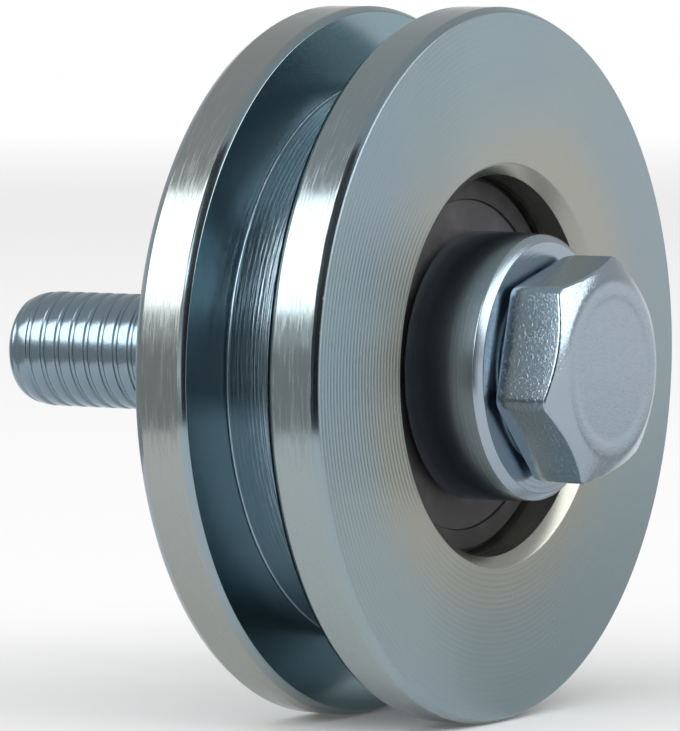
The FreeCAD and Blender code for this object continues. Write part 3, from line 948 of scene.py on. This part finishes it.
class GROOVEWHEEL_OT_bearing_inside(bpy.types.Operator):
    """Finish the balls, the cage and its rivets inside the bearing"""

    bl_idname = "groovewheel.bearing_inside"
    bl_label = "Balls and Cage"

    def execute(self, context):
        colours = context.scene.groove_wheel.colours
        finishes = {
            "ball": ground_steel("ball_steel", colours.ball, roughness=0.05, depth=0.5 * MICRON),
            "cage": ground_steel("cage_steel", colours.cage, roughness=0.28, depth=4 * MICRON),
        }
        for name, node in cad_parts.items():
            for word, material in finishes.items():
                if word in name:
                    node.data.materials.clear()
                    node.data.materials.append(material)
        return {"FINISHED"}


# Stage

# Floor's reach to each side in metres, and distances in millimetres between which its glow grows
FLOOR_REACH = 2.2
FLOOR_FADE = (900, 2000)
SCREEN_STEPS = 48


def seen_directly(finish):
    """1 for camera, glossy and transmission rays, which see the white background."""
    outputs = finish.node("ShaderNodeLightPath").socket.node.outputs
    kinds = ("Is Camera Ray", "Is Glossy Ray", "Is Transmission Ray")
    camera, glossy, through = [Value(finish, outputs[kind]) for kind in kinds]
    return camera.most(glossy).most(through)


def floor_material(settings):
    """Pale floor that takes the wheel's shadow and fades into the white backdrop."""
    finish = new_finish("stage_floor")
    x, y = finish.parts(finish.place())[:2]
    near, far = [[level] * 3 for level in (settings.stage.floor_glow, settings.stage.far_glow)]
    fade = (x * x + y * y).root().rise(*FLOOR_FADE)
    matt = finish.node("ShaderNodeBsdfDiffuse", None, {"Color": (*settings.colours.floor, 1)})
    glow = finish.node("ShaderNodeEmission", None, {"Color": finish.mix(fade, near, far)})
    both = finish.node("ShaderNodeAddShader", None, {0: matt, 1: glow})
    sockets = {0: seen_directly(finish), 1: matt, 2: both}
    return finish.shown(finish.node("ShaderNodeMixShader", None, sockets))


def screen_material(name, level):
    """Plain surface that glows at a level, with white paper at 1."""
    finish = new_finish(name)
    return finish.shown(finish.node("ShaderNodeEmission", None, {"Color": (level, level, level, 1)}))


# Screens are painted reflections: glowing sheets that only reflections see, in place of the studio's grey and
# dark zones.
def add_screen(name, level, near, far, top, first, last):
    """Screen that rises from the floor, between two azimuths in degrees; only reflections see it."""
    mesh = bmesh.new()
    centre = Vector((0, WHEEL_LOW.y, 0))
    start, end = math.radians(first), math.radians(last)
    outward = Vector((math.sin(start), -math.cos(start), 0))
    foot, head = [mesh.verts.new(centre + outward * reach + Vector((0, 0, height)))
                  for reach, height in ((near, FLOOR_LEVEL), (far, top))]
    side = mesh.edges.new((foot, head))
    bmesh.ops.spin(mesh, geom=[foot, head, side], cent=centre, axis=(0, 0, 1), angle=end - start,
                   steps=SCREEN_STEPS)
    screen = add_stage(name, mesh, screen_material(name, level))
    screen.visible_camera = False
    screen.visible_diffuse = False
    screen.visible_shadow = False


def add_lamp(name, level, height, across, along, width, depth):
    """Soft panel under the ceiling that faces down; its place and size are in lamp heights."""
    lamp = bpy.data.lights.new(name, "AREA")
    lamp.shape = "RECTANGLE"
    lamp.size = width * height
    lamp.size_y = depth * height
    lamp.energy = level * math.pi * lamp.size * lamp.size_y
    thing = bpy.data.objects.new(name, lamp)
    thing.location = Vector((across, along, 1)) * height
    thing.visible_camera = False
    bpy.context.scene.collection.objects.link(thing)


def add_camera(stage):
    """Camera at the reference view."""
    turn, tilt = stage.azimuth, stage.elevation
    back = Vector((math.sin(turn) * math.cos(tilt), -math.cos(turn) * math.cos(tilt), math.sin(tilt)))
    right = Vector((math.cos(turn), math.sin(turn), 0))
    up = back.cross(right)
    lens = bpy.data.cameras.new("camera")
    lens.sensor_fit = "HORIZONTAL"
    lens.sensor_width = stage.sensor
    lens.lens = stage.lens
    camera = bpy.data.objects.new("camera", lens)
    camera.matrix_world = Matrix((right, up, back)).transposed().to_4x4()
    front_face = Vector((0, WHEEL_LOW.y, 0))
    camera.location = front_face + right * stage.across + up * stage.above + back * stage.distance
    bpy.context.scene.collection.objects.link(camera)
    bpy.context.scene.camera = camera


def set_world(stage):
    """White backdrop round the horizon under a dim ceiling."""
    finish = Finish(bpy.data.worlds.new("studio"))
    direction = finish.node("ShaderNodeTexCoord", output="Generated")
    height = finish.parts(direction)[2].rise(0, stage.backdrop_top)
    tone = finish.mix(height, [1] * 3, [stage.ceiling] * 3)
    bpy.context.scene.world = finish.shown(finish.node("ShaderNodeBackground", None, {"Color": tone}))


class GROOVEWHEEL_OT_stage(bpy.types.Operator):
    """Set up the floor, the lamps, the screens, the backdrop and the camera"""

    bl_idname = "groovewheel.stage"
    bl_label = "Stage"

    def execute(self, context):
        settings = context.scene.groove_wheel
        mesh = bmesh.new()
        bmesh.ops.create_grid(mesh, x_segments=1, y_segments=1, size=FLOOR_REACH,
                              matrix=Matrix.Translation((0, 0, FLOOR_LEVEL)))
        add_stage("floor", mesh, floor_material(settings))
        stage = settings.stage
        height = stage.lamp_height
        add_lamp("lamp_front", stage.front_level, height, across=0.08, along=-2.75, width=2.05, depth=4.0)
        add_lamp("lamp_left", stage.left_level, height, across=-1.82, along=0.75, width=2.36, depth=3.7)
        # Painted reflections of the studio's grey and dark zones. The low screen lies on the floor as a
        # painted shadow, the wheel's shadow seen in the face's reflection.
        add_screen("screen_left", level=0.42, near=0.115, far=0.40, top=0.05, first=-186, last=-72)
        add_screen("screen_dark", level=0.03, near=0.115, far=0.15, top=0.30, first=-72, last=-38)
        add_screen("painted_floor_shadow_screen", level=0.50, near=0.005, far=0.25, top=FLOOR_LEVEL + MM, first=45, last=75)
        set_world(stage)
        add_camera(stage)
        context.scene.view_settings.view_transform = "Standard"
        return {"FINISHED"}


PIECES = (
    GROOVEWHEEL_OT_wheel,
    GROOVEWHEEL_OT_rings,
    GROOVEWHEEL_OT_seals,
    GROOVEWHEEL_OT_bushes,
    GROOVEWHEEL_OT_bolt,
    GROOVEWHEEL_OT_bearing_inside,
    GROOVEWHEEL_OT_stage,
)


class GROOVEWHEEL_PT_panel(bpy.types.Panel):
    """Steps that build the wheel, in order"""

    bl_idname = "GROOVEWHEEL_PT_panel"
    bl_label = "Groove Wheel"
    bl_space_type = "VIEW_3D"
    bl_region_type = "UI"
    bl_category = "Groove Wheel"

    def draw(self, context):
        for step in PIECES:
            self.layout.operator(step.bl_idname)


GROUPS = (WheelSizes, BearingSizes, BushSizes, BoltSizes, FinishColours, StageSizes, GrooveWheelSettings)
CLASSES = (*GROUPS, *PIECES, GROOVEWHEEL_PT_panel)


def register():
    for item in CLASSES:
        bpy.utils.register_class(item)
    bpy.types.Scene.groove_wheel = PointerProperty(type=GrooveWheelSettings)


def unregister():
    del bpy.types.Scene.groove_wheel
    for item in reversed(CLASSES):
        bpy.utils.unregister_class(item)


def main():
    register()
    bpy.ops.groovewheel.wheel()
    bpy.ops.groovewheel.rings()
    bpy.ops.groovewheel.seals()
    bpy.ops.groovewheel.bushes()
    bpy.ops.groovewheel.bolt()
    bpy.ops.groovewheel.bearing_inside()
    bpy.ops.groovewheel.stage()


if __name__ == "__main__":
    main()
